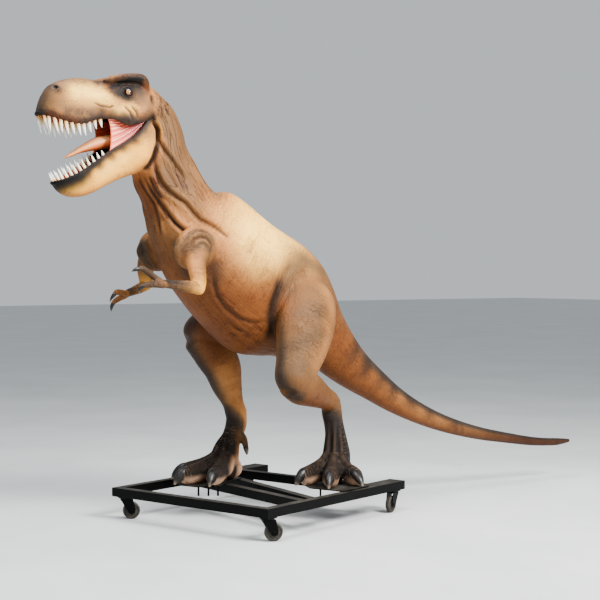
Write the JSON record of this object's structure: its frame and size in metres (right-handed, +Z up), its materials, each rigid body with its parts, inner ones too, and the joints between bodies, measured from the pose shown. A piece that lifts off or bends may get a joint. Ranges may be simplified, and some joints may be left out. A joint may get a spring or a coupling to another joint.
{
  "type": "tyrannosaur statue on wheeled frame",
  "caption": "Painted two-legged dinosaur statue, mouth open in mid-stride, with its feet bolted to a low welded frame on swivel casters.",
  "frame": {"origin": "on the floor under the middle of the whole statue's bounding box, tail tip to snout", "axes": "+X from the snout to the tail tip, +Y to the animal's right, +Z up from the floor"},
  "size_m": [3.96, 1.483, 2.4787],
  "materials": {
    "painted_hide": "airbrushed fibreglass, satin",
    "mouth_lining": "painted salmon pink, gloss",
    "eye": "golden iris with a slit pupil under clear gloss",
    "black_steel": "satin black paint",
    "caster_steel": "black pressed steel",
    "caster_tread": "grey-brown rubber, worn"
  },
  "bodies": {
    "statue_and_frame": {"head": "painted_hide", "jaw": "painted_hide", "neck": "painted_hide", "chest": "painted_hide", "belly": "painted_hide", "tail_1": "painted_hide", "tail_2": "painted_hide", "tail_3": "painted_hide", "tail_4": "painted_hide", "upper_arm_left": "painted_hide", "forearm_left": "painted_hide", "hand_left": "painted_hide", "thigh_left": "painted_hide", "shank_left": "painted_hide", "instep_left": "painted_hide", "foot_left": "painted_hide", "upper_arm_right": "painted_hide", "forearm_right": "painted_hide", "hand_right": "painted_hide", "thigh_right": "painted_hide", "shank_right": "painted_hide", "instep_right": "painted_hide", "foot_right": "painted_hide", "tongue": "mouth_lining", "cheek_left": "mouth_lining", "cheek_right": "mouth_lining", "eye_left": "eye", "eye_right": "eye", "stand_side_bar_left": "black_steel", "stand_side_bar_right": "black_steel", "stand_front_bar": "black_steel", "stand_rear_bar": "black_steel", "stand_rear_block_left": "black_steel", "stand_rear_block_right": "black_steel", "stand_cross_bar_1": "black_steel", "stand_cross_bar_2": "black_steel", "stand_foot_plate_left": "black_steel", "stand_foot_plate_right": "black_steel", "stand_caster_plate_front_left": "black_steel", "stand_caster_plate_front_right": "black_steel", "stand_caster_plate_rear_left": "black_steel", "stand_caster_plate_rear_right": "black_steel"},
    "fork_front_left": {"stand_caster_fork_front_left": "caster_steel"},
    "wheel_front_left": {"stand_caster_wheel_front_left": "caster_tread"},
    "fork_front_right": {"stand_caster_fork_front_right": "caster_steel"},
    "wheel_front_right": {"stand_caster_wheel_front_right": "caster_tread"},
    "fork_rear_left": {"stand_caster_fork_rear_left": "caster_steel"},
    "wheel_rear_left": {"stand_caster_wheel_rear_left": "caster_tread"},
    "fork_rear_right": {"stand_caster_fork_rear_right": "caster_steel"},
    "wheel_rear_right": {"stand_caster_wheel_rear_right": "caster_tread"}
  },
  "joints": [
    {"name": "swivel_front_left", "type": "hinge", "parent": "statue_and_frame", "child": "fork_front_left", "pos_m": [-1.0015, -0.70295, 0.12], "axis": [0, 0, 1], "continuous": true},
    {"name": "roll_front_left", "type": "hinge", "parent": "fork_front_left", "child": "wheel_front_left", "pos_m": [-0.97479, -0.71137, 0.05], "axis": [0.3007, 0.9537, 0], "continuous": true},
    {"name": "swivel_front_right", "type": "hinge", "parent": "statue_and_frame", "child": "fork_front_right", "pos_m": [-1.30283, 0.31436, 0.12], "axis": [0, 0, 1], "continuous": true},
    {"name": "roll_front_right", "type": "hinge", "parent": "fork_front_right", "child": "wheel_front_right", "pos_m": [-1.27716, 0.3032, 0.05], "axis": [0.3987, 0.9171, 0], "continuous": true},
    {"name": "swivel_rear_left", "type": "hinge", "parent": "statue_and_frame", "child": "fork_rear_left", "pos_m": [0.10115, -0.37633, 0.12], "axis": [0, 0, 1], "continuous": true},
    {"name": "roll_rear_left", "type": "hinge", "parent": "fork_rear_left", "child": "wheel_rear_left", "pos_m": [0.07567, -0.38794, 0.05], "axis": [0.4147, -0.91, 0], "continuous": true},
    {"name": "swivel_rear_right", "type": "hinge", "parent": "statue_and_frame", "child": "fork_rear_right", "pos_m": [-0.21468, 0.68988, 0.12], "axis": [0, 0, 1], "continuous": true},
    {"name": "roll_rear_right", "type": "hinge", "parent": "fork_rear_right", "child": "wheel_rear_right", "pos_m": [-0.2419, 0.69642, 0.05], "axis": [-0.2334, -0.9724, 0], "continuous": true}
  ]
}
